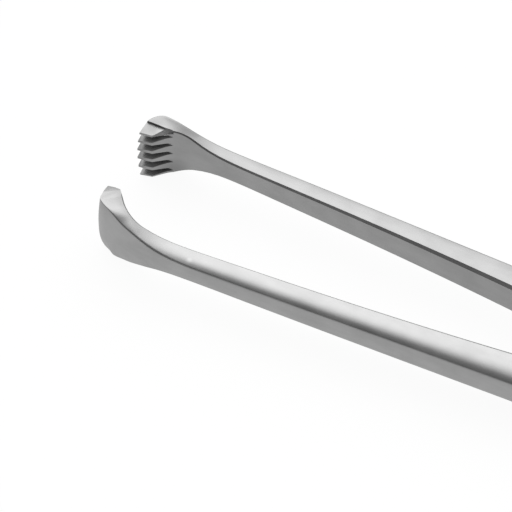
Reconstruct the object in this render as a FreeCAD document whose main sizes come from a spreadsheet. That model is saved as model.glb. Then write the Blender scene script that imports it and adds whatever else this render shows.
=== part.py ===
"""Allis tissue forceps with a box lock, finger rings and a ratchet.

Three pieces: the female half carries the box of the lock and the jaw with six teeth, the
male half passes through that box and carries the jaw with five teeth, and a rivet pins
them together. X runs from the jaws (-X) to the rings (+X) along the middle line, Z is the
axis of the rivet, and the instrument lies flat on the lower face of its box. Both halves
are made along the middle line, and are then swung open about the rivet.
"""

import FreeCAD, Part
import math
import os
import Sketcher
from FreeCAD import Placement, Rotation, Vector

SIZES = (
    # Lock
    ("box_length", 13.0, "box of the lock, along X"),
    ("box_width", 9.2, "box of the lock, along Y"),
    ("box_height", 6.2, "box of the lock, along Z"),
    ("box_edge", 0.3, "chamfer on the edges of the box"),
    ("box_step", 0.1, "shanks below the faces of the box, top and bottom"),
    ("tenon_height", 2.5, "middle of the male half, inside the box"),
    ("tenon_width", 3.4, "middle of the male half, inside the box"),
    ("slot_gap", 0.05, "play of the tenon in the box, each side"),
    ("cross_angle", 19.5, "slant of the tenon across the closed box"),
    ("shoulder_gap", 0.1, "play between the box and the shoulders of the male half"),
    ("pin_diameter", 2.6, "rivet"),
    ("pin_edge", 0.12, "chamfer on the ends of the rivet"),
    ("pin_gap", 0.03, "play of the rivet in the tenon, on the radius"),
    # Opening
    ("rest_opening", 5.68, "angle between the halves as they lie"),
    ("full_opening", 40.0, "angle between the halves at the stop of the lock"),
    # Shanks of the jaws
    ("jaw_reach", 62.0, "rivet to the line of the teeth"),
    ("middle_gap", 0.05, "closed halves to the middle line, at the box"),
    ("shank_gap", 1.92, "closed shanks to the middle line, along the slim stretch"),
    ("shank_width", 1.46, "slim stretch of a shank, along Y"),
    ("shank_height", 2.31, "slim stretch of a shank, along Z"),
    ("shank_growth", 0.0345, "growth in height for each length back from the neck"),
    ("neck_length", 8.0, "line of the teeth to the slimmest place"),
    ("slim_length", 27.0, "line of the teeth to the end of the slim stretch"),
    ("rise_length", 17.0, "growth of a shank to the height of the box"),
    ("gap_power", 1.6, "how late the gap between the shanks closes"),
    ("swell_power", 2.4, "how late a shank widens towards the box"),
    ("inner_bevel", 0.5, "bevel on the inner edges of a shank, at the box"),
    ("outer_round", 0.9, "round on the outer edges of a shank, at the box"),
    ("shank_crown", 0.1, "bow of the outer side of a shank"),
    ("tip_bevel", 0.1, "bevel on the inner edges, at the tip"),
    ("tip_round", 0.12, "round on the outer edges, at the tip"),
    # Jaws
    ("jaw_width", 6.16, "flared tip, along Z"),
    ("crown_six", 0.24, "bow of the front of the tip with six teeth"),
    ("crown_five", 0.05, "bow of the front of the tip with five teeth"),
    ("flare_length", 3.35, "length over which the flare of the tip fades"),
    ("flare_power", 2.1, "how sharply that flare ends"),
    ("hook_angle_six", 45.0, "slant of the inner face of the hook with six teeth"),
    ("hook_angle_five", 53.0, "slant of the inner face of the hook with five teeth"),
    ("hook_radius_six", 3.2, "bend inside the hook with six teeth"),
    ("hook_radius_five", 2.8, "bend inside the hook with five teeth"),
    ("land_six", 1.02, "length of a crest of the six teeth"),
    ("land_five", 1.26, "length of a crest of the five teeth"),
    ("back_six", 0.0, "line of the teeth to the inner ends of the six crests"),
    ("back_five", 0.12, "line of the teeth to the inner ends of the five crests"),
    ("land_angle", 13.0, "slant of the tooth crests to the middle line"),
    ("land_offset", 0.264, "half the difference in reach between the hooks"),
    ("front_height", 1.0, "straight stretch of the front of the tip"),
    ("brow_back", 0.25, "line of the teeth to the end of the round brow above the front"),
    ("brow_reach", 0.62, "fullness of that brow"),
    ("hook_depth", 3.2, "line of the teeth to the end of the hook, on the outer face"),
    ("drop_six", 1.0, "fall of the outer face to the tip with six teeth"),
    ("fall_six", 5.0, "length over which that fall fades"),
    ("power_six", 1.6, "how late it fades"),
    ("drop_five", 1.35, "fall of the outer face to the tip with five teeth"),
    ("fall_five", 2.2, "length over which that fall fades"),
    ("power_five", 1.0, "how late it fades"),
    # Teeth
    ("tooth_pitch", 1.13, "crest to crest"),
    ("tooth_angle", 28.8, "angle between the flanks of a groove"),
    ("tooth_crest", 0.34, "flat on top of a crest, and on the floor of a groove"),
    ("mesh_gap", 0.29, "crest to the floor of the other jaw's groove, on the middle line"),
    ("flank_angle", 30.0, "slant of the outer flanks of the row of five teeth"),
    ("facet_height", 1.25, "flat beside the outermost of the six teeth"),
    ("facet_depth", 0.17, "set-back of that flat from the side of the jaw"),
    ("facet_angle", 2.0, "slant of that flat to the side of the jaw"),
    ("facet_turn", 8.0, "slant of the back of that flat to the crests"),
    # Handles
    ("handle_reach", 92.0, "rivet to the far end of the rings"),
    ("handle_width", 3.7, "handle shank, along Y"),
    ("handle_height", 4.0, "handle shank, along Z"),
    ("handle_bend", 2.1, "power of the outward bow of a handle shank"),
    ("handle_round", 1.4, "round on the edges of a handle shank, at the ring"),
    ("ring_length", 25.0, "opening of a ring, along X"),
    ("ring_width", 20.0, "opening of a ring, along Y"),
    ("ring_wire", 4.2, "thickness of a ring, seen from above"),
    ("ring_height", 3.8, "thickness of a ring, along Z"),
    ("ring_spread", 32.0, "centre to centre of the closed rings"),
    # Ratchet
    ("ratchet_reach", 53.0, "rivet to the middle of the ratchet arms"),
    ("ratchet_width", 4.6, "ratchet arm, along X"),
    ("ratchet_height", 1.95, "ratchet arm, along Z"),
    ("ratchet_lap", 3.4, "closed ratchet arm past the middle line"),
    ("ratchet_pitch", 1.5, "tooth to tooth of the ratchet"),
    ("ratchet_depth", 0.55, "depth of the ratchet teeth"),
    ("ratchet_gap", 0.05, "crests of the ratchet to the middle plane"),
    ("ratchet_edge", 0.8, "round on the free corners of a ratchet arm"),
)
TEETH = {"six": 6, "five": 5}
LONGER = {"six": -1, "five": 1}  # the hook with five teeth reaches past the middle line
RATCHET_TEETH = 3
RATCHET_FIRST = 0.25  # end of an arm to its first tooth, as a share of the pitch
RATCHET_RAMP = 0.8  # slanted side of a ratchet tooth, as a share of the pitch
RATCHET_FOOT = 0.95  # whole foot of a ratchet tooth, as a share of the pitch
TENON_SINK = 1.2  # how far the tenon runs on into the shoulders of its half
UP = Vector(0, 0, 1)
ORIGIN = Vector(0, 0, 0)
TINY = 1e-6
PAST = 3.0  # how far a cutter runs past what it cuts

doc = FreeCAD.newDocument("allis_tissue_forceps")
sheet = doc.addObject("Spreadsheet::Sheet", "sizes")
for row, (alias, value, meaning) in enumerate(SIZES, start=1):
    sheet.set(f"A{row}", meaning)
    sheet.set(f"B{row}", str(value))
    sheet.setAlias(f"B{row}", alias)
doc.recompute()


def size(alias):
    """The value of one cell of the sheet."""
    return float(getattr(sheet, alias))


def turned(angle, base=ORIGIN):
    """A placement that turns by an angle about the axis of the rivet."""
    return Placement(base, Rotation(UP, angle))


def bind(thing, rules):
    """Tie properties of an object to the cells of the sheet."""
    for name, rule in rules.items():
        thing.setExpression(name, rule)
    return thing


def primitive(kind, label, **rules):
    """A Part primitive whose sizes are expressions on the sheet."""
    return bind(doc.addObject(kind, label), rules)


def fused(label, *pieces):
    """The pieces joined into one."""
    result = doc.addObject("Part::MultiFuse", label)
    result.Shapes = list(pieces)
    return result


def cut(label, base, tool):
    """The base less the tool."""
    result = doc.addObject("Part::Cut", label)
    result.Base = base
    result.Tool = tool
    return result


def common(label, *pieces):
    """What the pieces share."""
    result = doc.addObject("Part::MultiCommon", label)
    result.Shapes = list(pieces)
    return result


def feature(label, shape):
    """An object that holds a shape made in this script."""
    holder = doc.addObject("Part::Feature", label)
    holder.Shape = shape
    return holder


# Outlines of the shanks, the same on both halves. A distance back from the line of the
# teeth is called behind, and a distance from the middle line is called off.

def eased(low, high, share):
    """A smooth step from low to high as share goes from 0 to 1."""
    share = min(max(share, 0.0), 1.0)
    return low + (high - low) * share * share * (3 - 2 * share)


def root_behind():
    """The front of the box."""
    return size("jaw_reach") - size("box_length") / 2


def inner_off(behind):
    """The inner face of a jaw shank."""
    slim = size("slim_length")
    share = (behind - slim) / (root_behind() - slim)
    share = min(max(share, 0.0), 1.0)
    closing = share ** size("gap_power")
    return size("shank_gap") + (size("middle_gap") - size("shank_gap")) * closing


def outer_off(behind, kind):
    """The outer face of a jaw shank, which falls away towards the tip."""
    root = size("box_width") / 2
    slim = size("shank_gap") + size("shank_width")
    share = min(max(behind / root_behind(), 0.0), 1.0)
    swell = (root - slim) * share ** size("swell_power")
    faded = math.exp(-(behind / size("fall_" + kind)) ** size("power_" + kind))
    return slim + swell - size("drop_" + kind) * faded


def half_height(behind):
    """Half the height of a jaw shank, with the flare of the tip and the rise to the box."""
    tip = size("jaw_width") / 2
    growth = size("shank_growth") * max(behind - size("neck_length"), 0.0)
    slim = (size("shank_height") + growth) / 2
    flare = math.exp(-(max(behind, 0.0) / size("flare_length")) ** size("flare_power"))
    rise = (behind - root_behind() + size("rise_length")) / size("rise_length")
    return eased(slim, size("box_height") / 2 - size("box_step"), rise) + (tip - slim) * flare


def plan(behind, off):
    """A point of the plan, in the frame of the rivet."""
    return Vector(behind - size("jaw_reach"), off, 0)


def bevel(side, middle, top):
    """A corner cut straight across."""
    return [Part.LineSegment(side, top)]


def flats(side, middle, top):
    """A corner ground round in two flats."""
    return [Part.LineSegment(side, middle), Part.LineSegment(middle, top)]


def rounded(side, middle, top):
    """A round corner."""
    return [Part.Arc(side, middle, top)]


def section(inner, outer, inner_half, outer_half, inner_soft, outer_soft, crown,
            inner_corner=bevel, outer_corner=rounded):
    """A cross-section: an upright oblong with soft corners and a bowed outer side."""
    across = outer - inner
    width = across.Length
    across.normalize()

    def place(over, height):
        return inner + across * over + UP * height

    def corner(sign, over, half, soft, inward):
        """The side end, the middle and the top end of a soft corner."""
        bend = soft * (1 - math.sqrt(0.5))
        return (
            place(over, sign * (half - soft)),
            place(over + inward * bend, sign * (half - bend)),
            place(over + inward * soft, sign * half),
        )

    low_in = corner(-1, 0, inner_half, inner_soft, 1)
    high_in = corner(1, 0, inner_half, inner_soft, 1)
    low_out = corner(-1, width, outer_half, outer_soft, -1)
    high_out = corner(1, width, outer_half, outer_soft, -1)
    edges = [
        Part.LineSegment(low_in[0], high_in[0]),
        *inner_corner(*high_in),
        Part.LineSegment(high_in[2], high_out[2]),
        *outer_corner(*high_out[::-1]),
        Part.Arc(high_out[0], place(width + crown, 0), low_out[0]),
        *outer_corner(*low_out),
        Part.LineSegment(low_out[2], low_in[2]),
        *inner_corner(*low_in[::-1]),
    ]
    return Part.Wire([edge.toShape() for edge in edges])


def tooth_depth():
    """Crest to the floor of a groove, from the pitch and the angle of the grooves."""
    run = size("tooth_pitch") / 2 - size("tooth_crest")
    return run / math.tan(math.radians(size("tooth_angle") / 2))


# Where the shanks have their cross-sections, as shares of each stretch of them.
HOOK_SHARES = (0.0, 0.11, 0.22, 0.33, 0.43, 0.53, 0.68, 0.84, 1.0)
BROW_SHARES = (0.35, 0.7)
OUTER_SHARES = (0.08, 0.3, 0.6, 1.0)
SLIM_SHARES = (0.06, 0.13, 0.23, 0.38, 0.58, 0.78, 1.0)
ROOT_SHARES = (0.22, 0.44, 0.64, 0.82, 0.96)
ROOT_SINK = 0.2  # how deep the root of a jaw shank lies in the box, as a share of its length
HANDLE_SHARES = (0.0, 0.08, 0.18, 0.3, 0.44, 0.58, 0.72, 0.86, 1.0)
HANDLE_SINK = 0.3
HANDLE_CROWN = 0.02
HANDLE_EASE = 0.45  # share of a handle shank over which it leaves the form of the box
RING_SINK = 1.5  # how deep a handle shank ends in the bar of its ring, in bar widths
STEP = 0.01  # how far apart two points are that give the direction of a curve


def land_corner(kind):
    """The inner ends of the tooth crests."""
    slant = math.radians(size("land_angle"))
    lap = tooth_depth() / math.cos(slant) - size("mesh_gap")
    past = lap / 2 + LONGER[kind] * size("land_offset")
    return plan(size("back_" + kind), size("land_" + kind) * math.sin(slant) - past)


def land_direction():
    """Along a tooth crest, from the front of the tip to its inner corner."""
    slant = math.radians(size("land_angle"))
    return Vector(math.cos(slant), math.sin(slant), 0)


def curve(points, share):
    """A point of the cubic curve that four points pull."""
    rest = 1 - share
    weights = (rest ** 3, 3 * rest ** 2 * share, 3 * rest * share ** 2, share ** 3)
    place = Vector(0, 0, 0)
    for point, weight in zip(points, weights):
        place += point * weight
    return place


def front_points(crest, kind):
    """The end of a jaw from its crests: up the front, round the brow and back."""
    front = crest.x + size("jaw_reach")
    height = size("front_height")
    back = size("brow_back")
    reach = size("brow_reach")
    top = outer_off(back, kind)
    slope = (outer_off(back + STEP, kind) - top) / STEP
    brow = (plan(front, height), plan(front, height + reach),
            plan(back - reach, top - reach * slope), plan(back, top))
    points = [crest, plan(front, height / 2), plan(front, height)]
    points += [curve(brow, share) for share in BROW_SHARES]
    for share in OUTER_SHARES:
        behind = share * size("hook_depth")
        points.append(plan(behind, outer_off(behind, kind)))
    return points


def jaw_sections(kind):
    """The cross-sections of a jaw and its shank, from the tooth crests back into the box."""
    slant = math.radians(size("hook_angle_" + kind))
    hook_radius = size("hook_radius_" + kind)
    corner = land_corner(kind)
    crest = corner - land_direction() * size("land_" + kind)
    climb = size("shank_gap") - corner.y
    tangent = hook_radius * math.tan(slant / 2)
    straight = climb / math.sin(slant) - tangent
    bend_end = size("back_" + kind) + climb / math.tan(slant) + tangent

    def hook(share):
        """The inner face, up from the crests along its slant and round the bend."""
        way = share * (straight + hook_radius * slant)
        if way < straight:
            return corner + Vector(math.cos(slant), math.sin(slant), 0) * way
        turn = slant - (way - straight) / hook_radius
        centre_off = size("shank_gap") - hook_radius
        return plan(bend_end - hook_radius * math.sin(turn),
                    centre_off + hook_radius * math.cos(turn))

    fronts = front_points(crest, kind)
    pairs = [(hook(share), outer) for share, outer in zip(HOOK_SHARES, fronts)]
    slim_run = size("slim_length") - bend_end
    root_run = root_behind() - size("slim_length")
    stops = [bend_end + share * slim_run for share in SLIM_SHARES]
    stops += [size("slim_length") + share * root_run for share in ROOT_SHARES]
    stops.append(root_behind() + ROOT_SINK * size("box_length"))
    for behind in stops:
        pairs.append((plan(behind, inner_off(behind)), plan(behind, outer_off(behind, kind))))
    wires = []
    for inner, outer in pairs:
        inner_behind = inner.x + size("jaw_reach")
        behind = outer.x + size("jaw_reach")
        share = max(behind / root_behind(), 0.0)
        bevel = size("tip_bevel") + (size("inner_bevel") - size("tip_bevel")) * share
        soft = size("tip_round") + (size("outer_round") - size("tip_round")) * share
        crown = eased(size("crown_" + kind), size("shank_crown"),
                      behind / (2 * size("flare_length")))
        wires.append(section(inner, outer, half_height(inner_behind), half_height(behind),
                             bevel, soft, crown))
    return wires


def handle_span():
    """Where a handle shank starts inside the box, and where it meets the ring."""
    ring_front = size("handle_reach") - size("ring_length") - RING_SINK * size("ring_wire")
    return HANDLE_SINK * size("box_length"), ring_front


def handle_middle(along):
    """A point on the middle of a closed handle shank that lies on the +Y side."""
    start, ring_front = handle_span()
    start_off = (size("box_width") / 2 + size("middle_gap")) / 2
    spread = (size("ring_spread") - size("ring_wire")) / 2 - start_off
    share = (along - start) / (ring_front - start)
    return Vector(along, start_off + spread * share ** size("handle_bend"), 0)


def handle_sections():
    """The cross-sections of a handle shank, from inside the box to the ring."""
    start, ring_front = handle_span()
    root_width = size("box_width") / 2 - size("middle_gap")
    wires = []
    for share in HANDLE_SHARES:
        middle = handle_middle(start + (ring_front - start) * share)
        ahead = handle_middle(middle.x + STEP)
        aside = UP.cross(ahead - middle).normalize()
        width = eased(root_width, size("handle_width"), share / HANDLE_EASE)
        root_half = size("box_height") / 2 - size("box_step")
        half = eased(root_half, size("handle_height") / 2, share / HANDLE_EASE)
        soft = eased(size("box_edge"), size("handle_round"), share / HANDLE_EASE)
        aside = aside * (width / 2)
        wires.append(section(middle - aside, middle + aside, half, half, soft, soft,
                             HANDLE_CROWN, flats, flats))
    return wires


def lofted(wires):
    """A solid through cross-sections, ruled from each to the next."""
    return Part.makeLoft(wires, True, True)


def mirrored(shape):
    """The shape on the other side of the middle line."""
    return shape.mirror(ORIGIN, Vector(0, 1, 0))


def prism(corners, run):
    """A prism on a polygon."""
    return Part.Face(Part.makePolygon(corners + corners[:1])).extrude(run)


def groove_cutters(kind):
    """What is cut away between the teeth of a jaw that lies on the +Y side."""
    count = TEETH[kind]
    pitch = size("tooth_pitch")
    depth = tooth_depth()
    along = land_direction()
    into = UP.cross(along)
    crest = land_corner(kind) - along * (size("land_" + kind) + PAST)
    run = along * (size("land_" + kind) + 2 * PAST)
    flare = math.tan(math.radians(size("tooth_angle") / 2))
    cutters = []
    floor_half = size("tooth_crest") / 2
    open_half = floor_half + (depth + PAST) * flare
    for gap in range(count - 1):
        middle = (gap - (count - 2) / 2) * pitch
        cutters.append(prism([
            crest + into * depth + UP * (middle - floor_half),
            crest + into * depth + UP * (middle + floor_half),
            crest - into * PAST + UP * (middle + open_half),
            crest - into * PAST + UP * (middle - open_half),
        ], run))
    return cutters, crest, into, run


def five_tooth_cutters():
    """The grooves between the five teeth, and the outer flanks of their row."""
    cutters, crest, into, run = groove_cutters("five")
    edge = ((TEETH["five"] - 1) * size("tooth_pitch") + size("tooth_crest")) / 2
    flare = math.tan(math.radians(size("flank_angle")))
    for sign in (-1, 1):
        cutters.append(prism([
            crest + UP * (sign * (edge - PAST * flare)) - into * PAST,
            crest + UP * (sign * (edge + PAST)) - into * PAST,
            crest + UP * (sign * (edge + PAST)) + into * (PAST / flare),
        ], run))
    return cutters


def six_tooth_cutters():
    """The grooves between the six teeth, and the flats beside their row."""
    cutters, crest, into, run = groove_cutters("six")
    inset = size("jaw_width") / 2 - size("facet_depth")
    slope = math.tan(math.radians(size("facet_angle")))
    turn = math.tan(math.radians(size("facet_turn")))
    low = into * -PAST
    front_high = into * (size("facet_height") + PAST * turn)
    back_high = front_high - into * (run.Length * turn)
    for sign in (-1, 1):
        front = crest + UP * (sign * (inset - PAST * slope))
        back = front + run + UP * (sign * slope * run.Length)
        cutters.append(prism([front + low, back + low, back + back_high, front + front_high],
                             UP * (sign * PAST)))
    return cutters


def base_sketch(body, label, role):
    """A sketch on one of the body's own base planes."""
    sketch = body.newObject("Sketcher::SketchObject", label)
    plane = [item for item in body.Origin.OriginFeatures if item.Role == role][0]
    sketch.AttachmentSupport = [(plane, "")]
    sketch.MapMode = "FlatFace"
    return sketch


def constrain(sketch, rule, value, *parts):
    """Add a constraint whose value is an expression on the sheet."""
    index = sketch.addConstraint(Sketcher.Constraint(*parts, value))
    sketch.setExpression(f"Constraints[{index}]", rule)


def ring_path(body, label):
    """The middle line of a ring: two straight sides and an end arc in two halves each."""
    sketch = base_sketch(body, label, "XY_Plane")
    radius = (size("ring_width") + size("ring_wire")) / 2
    apart = (size("ring_length") - size("ring_width")) / 2
    middle = size("handle_reach") - size("ring_wire") - size("ring_length") / 2
    near = Part.Circle(Vector(middle - apart, 0, 0), UP, radius)
    far = Part.Circle(Vector(middle + apart, 0, 0), UP, radius)
    quarter = math.pi / 2
    aside = Vector(0, radius, 0)
    for geometry in (
        Part.ArcOfCircle(far, 0, quarter),
        Part.LineSegment(far.Center + aside, near.Center + aside),
        Part.ArcOfCircle(near, quarter, 2 * quarter),
        Part.ArcOfCircle(near, 2 * quarter, 3 * quarter),
        Part.LineSegment(near.Center - aside, far.Center - aside),
        Part.ArcOfCircle(far, 3 * quarter, 4 * quarter),
    ):
        sketch.addGeometry(geometry, False)
    for item in (0, 1, 3, 4):
        sketch.addConstraint(Sketcher.Constraint("Tangent", item, 2, item + 1, 1))
    for first, second in ((2, 3), (5, 0)):
        sketch.addConstraint(Sketcher.Constraint("Coincident", first, 2, second, 1))
        sketch.addConstraint(Sketcher.Constraint("Coincident", first, 3, second, 3))
        sketch.addConstraint(Sketcher.Constraint("PointOnObject", first, 2, -1))
        sketch.addConstraint(Sketcher.Constraint("PointOnObject", first, 3, -1))
    sketch.addConstraint(Sketcher.Constraint("Equal", 0, 2))
    constrain(sketch, "(sizes.ring_width + sizes.ring_wire) / 2", radius, "Radius", 0)
    constrain(sketch, "sizes.ring_length - sizes.ring_width", 2 * apart,
              "Distance", 2, 3, 0, 3)
    constrain(sketch, "sizes.handle_reach - sizes.ring_wire - sizes.ring_width / 2",
              middle + apart, "DistanceX", -1, 1, 0, 3)
    return sketch


def ring_bar(body, label):
    """The cross-section of a ring, an ellipse at its far end."""
    sketch = base_sketch(body, label, "XZ_Plane")
    middle = Vector(size("handle_reach") - size("ring_wire") / 2, 0, 0)
    side = middle + Vector(size("ring_wire") / 2, 0, 0)
    top = middle + Vector(0, size("ring_height") / 2, 0)
    sketch.addGeometry(Part.Ellipse(side, top, middle), False)
    sketch.exposeInternalGeometry(0)
    sketch.addConstraint(Sketcher.Constraint("PointOnObject", 0, 3, -1))
    sketch.addConstraint(Sketcher.Constraint("Horizontal", 1))
    constrain(sketch, "sizes.handle_reach - sizes.ring_wire / 2", middle.x,
              "DistanceX", -1, 1, 0, 3)
    constrain(sketch, "sizes.ring_wire", size("ring_wire"), "Distance", 1)
    constrain(sketch, "sizes.ring_height", size("ring_height"), "Distance", 2)
    return sketch


def finger_ring(label, side):
    """A finger ring: a bar bent to an oval, on one side of the middle line."""
    body = doc.addObject("PartDesign::Body", label)
    path = ring_path(body, label + "_path")
    bar = ring_bar(body, label + "_bar")
    pipe = body.newObject("PartDesign::AdditivePipe", label + "_bend")
    pipe.Profile = bar
    pipe.Spine = path
    body.setExpression("Placement.Base.y", f"{side} * sizes.ring_spread / 2")
    return body


def ratchet_shape():
    """A ratchet arm from the handle at -Y across the middle line, with teeth below."""
    root = -handle_middle(size("ratchet_reach")).y
    lap = size("ratchet_lap")
    crest = size("ratchet_gap")
    valley = crest + size("ratchet_depth")
    top = crest + size("ratchet_height")
    pitch = size("ratchet_pitch")
    start = size("ratchet_reach") - size("ratchet_width") / 2
    profile = [(root, top), (lap, top), (lap, valley)]
    for tooth in range(RATCHET_TEETH):
        back = lap - (tooth + RATCHET_FIRST) * pitch
        profile.append((back, valley))
        profile.append((back - RATCHET_RAMP * pitch, crest))
        profile.append((back - RATCHET_FOOT * pitch, valley))
    profile.append((root, valley))
    corners = [Vector(start, across, height) for across, height in profile]
    arm = prism(corners, Vector(size("ratchet_width"), 0, 0))
    ends = [edge for edge in arm.Edges
            if edge.CenterOfMass.y > lap - TINY and edge.BoundBox.ZLength > TINY]
    return arm.makeFillet(size("ratchet_edge"), ends)


def box_plate():
    """The box of the lock, before its slot is cut."""
    block = primitive("Part::Box", "box_block", Length="sizes.box_length",
                      Width="sizes.box_width", Height="sizes.box_height")
    bind(block, {"Placement.Base.x": "-sizes.box_length / 2",
                 "Placement.Base.y": "-sizes.box_width / 2",
                 "Placement.Base.z": "-sizes.box_height / 2"})
    disc = primitive("Part::Cylinder", "box_disc", Radius="sizes.box_length / 2",
                     Height="sizes.box_height")
    bind(disc, {"Placement.Base.z": "-sizes.box_height / 2"})
    blank = common("box_blank", block, disc)
    doc.recompute()
    half = size("box_height") / 2
    rims = [index for index, edge in enumerate(blank.Shape.Edges, start=1)
            if abs(abs(edge.CenterOfMass.z) - half) < TINY]
    plate = doc.addObject("Part::Chamfer", "box_plate")
    plate.Base = blank
    plate.Edges = [(index, size("box_edge"), size("box_edge")) for index in rims]
    return plate


def tenon_bar(label, angle, reach, width, height):
    """A bar across the rivet, as long each way as its reach."""
    bar = primitive("Part::Box", label, Length=f"2 * ({reach})", Width=width, Height=height)
    doc.recompute()
    back = Vector(-bar.Length.Value / 2, -bar.Width.Value / 2, -bar.Height.Value / 2)
    bar.Placement = turned(angle, Rotation(UP, angle).multVec(back))
    return bar


def slot_cutter():
    """The room that the tenon sweeps inside the box, from closed to wide open."""
    reach = f"sizes.box_length / 2 + {PAST}"
    width = "sizes.tenon_width + 2 * sizes.slot_gap"
    height = "sizes.tenon_height + 2 * sizes.slot_gap"
    closed = size("cross_angle")
    rooms = [
        tenon_bar("slot_closed", closed, reach, width, height),
        tenon_bar("slot_open", closed + size("full_opening"), reach, width, height),
    ]
    for name, angle in (("slot_front", closed + 180), ("slot_back", closed)):
        sweep = primitive("Part::Cylinder", name, Radius=reach, Height=height,
                          Angle="sizes.full_opening")
        drop = -(size("tenon_height") / 2 + size("slot_gap"))
        sweep.Placement = turned(angle, UP * drop)
        rooms.append(sweep)
    return rooms


def bore(label, radius):
    """A bore through the lock for the rivet."""
    hole = primitive("Part::Cylinder", label, Radius=radius, Height="sizes.box_height")
    return bind(hole, {"Placement.Base.z": "-sizes.box_height / 2"})


def half_blank(name, side, kind, handle_side):
    """Jaw, shank, handle and ratchet arm of a half, closed, before anything is cut."""
    jaw = lofted(jaw_sections(kind))
    grip = lofted(handle_sections())
    arm = ratchet_shape()
    if side < 0:
        jaw = mirrored(jaw)
        arm = arm.rotated(ORIGIN, Vector(1, 0, 0), 180)
    if handle_side < 0:
        grip = mirrored(grip)
    return [
        feature(name + "_jaw", jaw),
        feature(name + "_handle", grip),
        feature(name + "_ratchet", arm),
        finger_ring(name + "_ring", handle_side),
    ]


def female_half():
    """The half with the box and the six teeth: jaw on +Y, handle on -Y."""
    blank = fused("female_blank", box_plate(), *half_blank("female", 1, "six", -1))
    teeth = Part.makeCompound(six_tooth_cutters())
    cutter = fused("female_cutter", feature("six_tooth_grooves", teeth), *slot_cutter(),
                   bore("box_bore", "sizes.pin_diameter / 2"))
    return cut("female_half", blank, cutter)


def male_half():
    """The half with the tenon and the five teeth: jaw on -Y, handle on +Y."""
    blank = fused("male_blank", *half_blank("male", -1, "five", 1))
    teeth = Part.makeCompound(five_tooth_cutters())
    room = primitive("Part::Cylinder", "shoulder_room",
                     Radius="sizes.box_length / 2 + sizes.shoulder_gap",
                     Height=f"sizes.box_height + 2 * {PAST}")
    bind(room, {"Placement.Base.z": f"-sizes.box_height / 2 - {PAST}"})
    arms = cut("male_arms", blank, fused("male_cutter", room,
                                         feature("five_tooth_grooves", mirrored(teeth))))
    tenon = tenon_bar("tenon", size("cross_angle"), f"sizes.box_length / 2 + {TENON_SINK}",
                      "sizes.tenon_width", "sizes.tenon_height")
    whole = fused("male_whole", arms, tenon)
    return cut("male_half", whole, bore("tenon_bore", "sizes.pin_diameter / 2 + sizes.pin_gap"))


def pivot_pin():
    """The rivet, flush with both faces of the box."""
    body = doc.addObject("PartDesign::Body", "pivot_pin")
    ring = base_sketch(body, "pin_round", "XY_Plane")
    ring.addGeometry(Part.Circle(ORIGIN, UP, size("pin_diameter") / 2), False)
    ring.addConstraint(Sketcher.Constraint("Coincident", 0, 3, -1, 1))
    ring.addConstraint(Sketcher.Constraint("Diameter", 0, size("pin_diameter")))
    ring.setExpression("Constraints[1]", "sizes.pin_diameter")
    shaft = body.newObject("PartDesign::Pad", "pin_shaft")
    shaft.Profile = ring
    shaft.Midplane = True
    bind(shaft, {"Length": "sizes.box_height"})
    doc.recompute()
    rims = [f"Edge{index}" for index, edge in enumerate(shaft.Shape.Edges, start=1)
            if abs(abs(edge.CenterOfMass.z) - size("box_height") / 2) < TINY]
    ends = body.newObject("PartDesign::Chamfer", "pin_ends")
    ends.Base = (shaft, rims)
    bind(ends, {"Size": "sizes.pin_edge"})
    return body


def build():
    """The three pieces as they lie in the rest pose."""
    female = female_half()
    male = male_half()
    pin = pivot_pin()
    lift = UP * (size("box_height") / 2)
    female.Placement = turned(-size("rest_opening") / 2, lift)
    male.Placement = turned(size("rest_opening") / 2, lift)
    pin.Placement = turned(0, lift)
    doc.recompute()
    return [female, male, pin]


def check(pieces):
    """Stop if an object of the document failed, or a piece is not one valid solid."""
    for item in doc.Objects:
        bad = {"Invalid", "Error"} & set(item.State)
        if bad:
            raise RuntimeError(f"{item.Label} failed: {sorted(bad)}")
    for piece in pieces:
        shape = piece.Shape
        if shape.isNull() or not shape.isValid() or len(shape.Solids) != 1:
            raise RuntimeError(f"{piece.Label} is not one valid solid: {len(shape.Solids)}")


PIECES = build()
check(PIECES)
os.makedirs("parts", exist_ok=True)
for piece in PIECES:
    piece.Shape.exportStep(f"parts/{piece.Label}.step")
    print(piece.Label, round(piece.Shape.Volume, 1), "mm3")
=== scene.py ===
"""Looks of an open pair of allis tissue forceps in satin stainless steel."""

import math

import bmesh
import bpy
from mathutils import Matrix, Vector


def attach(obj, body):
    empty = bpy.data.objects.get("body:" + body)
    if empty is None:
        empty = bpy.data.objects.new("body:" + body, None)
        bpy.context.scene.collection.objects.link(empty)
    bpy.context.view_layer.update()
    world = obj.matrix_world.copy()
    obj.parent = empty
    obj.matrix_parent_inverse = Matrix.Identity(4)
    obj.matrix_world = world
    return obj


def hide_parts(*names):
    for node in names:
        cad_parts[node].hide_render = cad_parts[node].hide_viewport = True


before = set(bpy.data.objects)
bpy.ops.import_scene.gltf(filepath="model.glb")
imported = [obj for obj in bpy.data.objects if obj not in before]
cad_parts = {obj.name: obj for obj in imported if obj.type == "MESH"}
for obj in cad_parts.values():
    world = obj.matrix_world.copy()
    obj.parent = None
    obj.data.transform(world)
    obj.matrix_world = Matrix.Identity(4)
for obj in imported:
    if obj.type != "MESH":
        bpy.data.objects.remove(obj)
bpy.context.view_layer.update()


# The photographer's view: from in front and well above, a little from the right, through
# a very long lens, so that parallel edges stay parallel. The tips fill the frame.
MM = 0.001
VIEW_TURN = math.radians(26.0)
VIEW_RISE = math.radians(53.9)
VIEW_DISTANCE = 800 * MM
VIEW_TARGET = Vector((-49.76, -2.12, 3.1)) * MM
VIEW_WIDTH = 41.86 * MM

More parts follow.
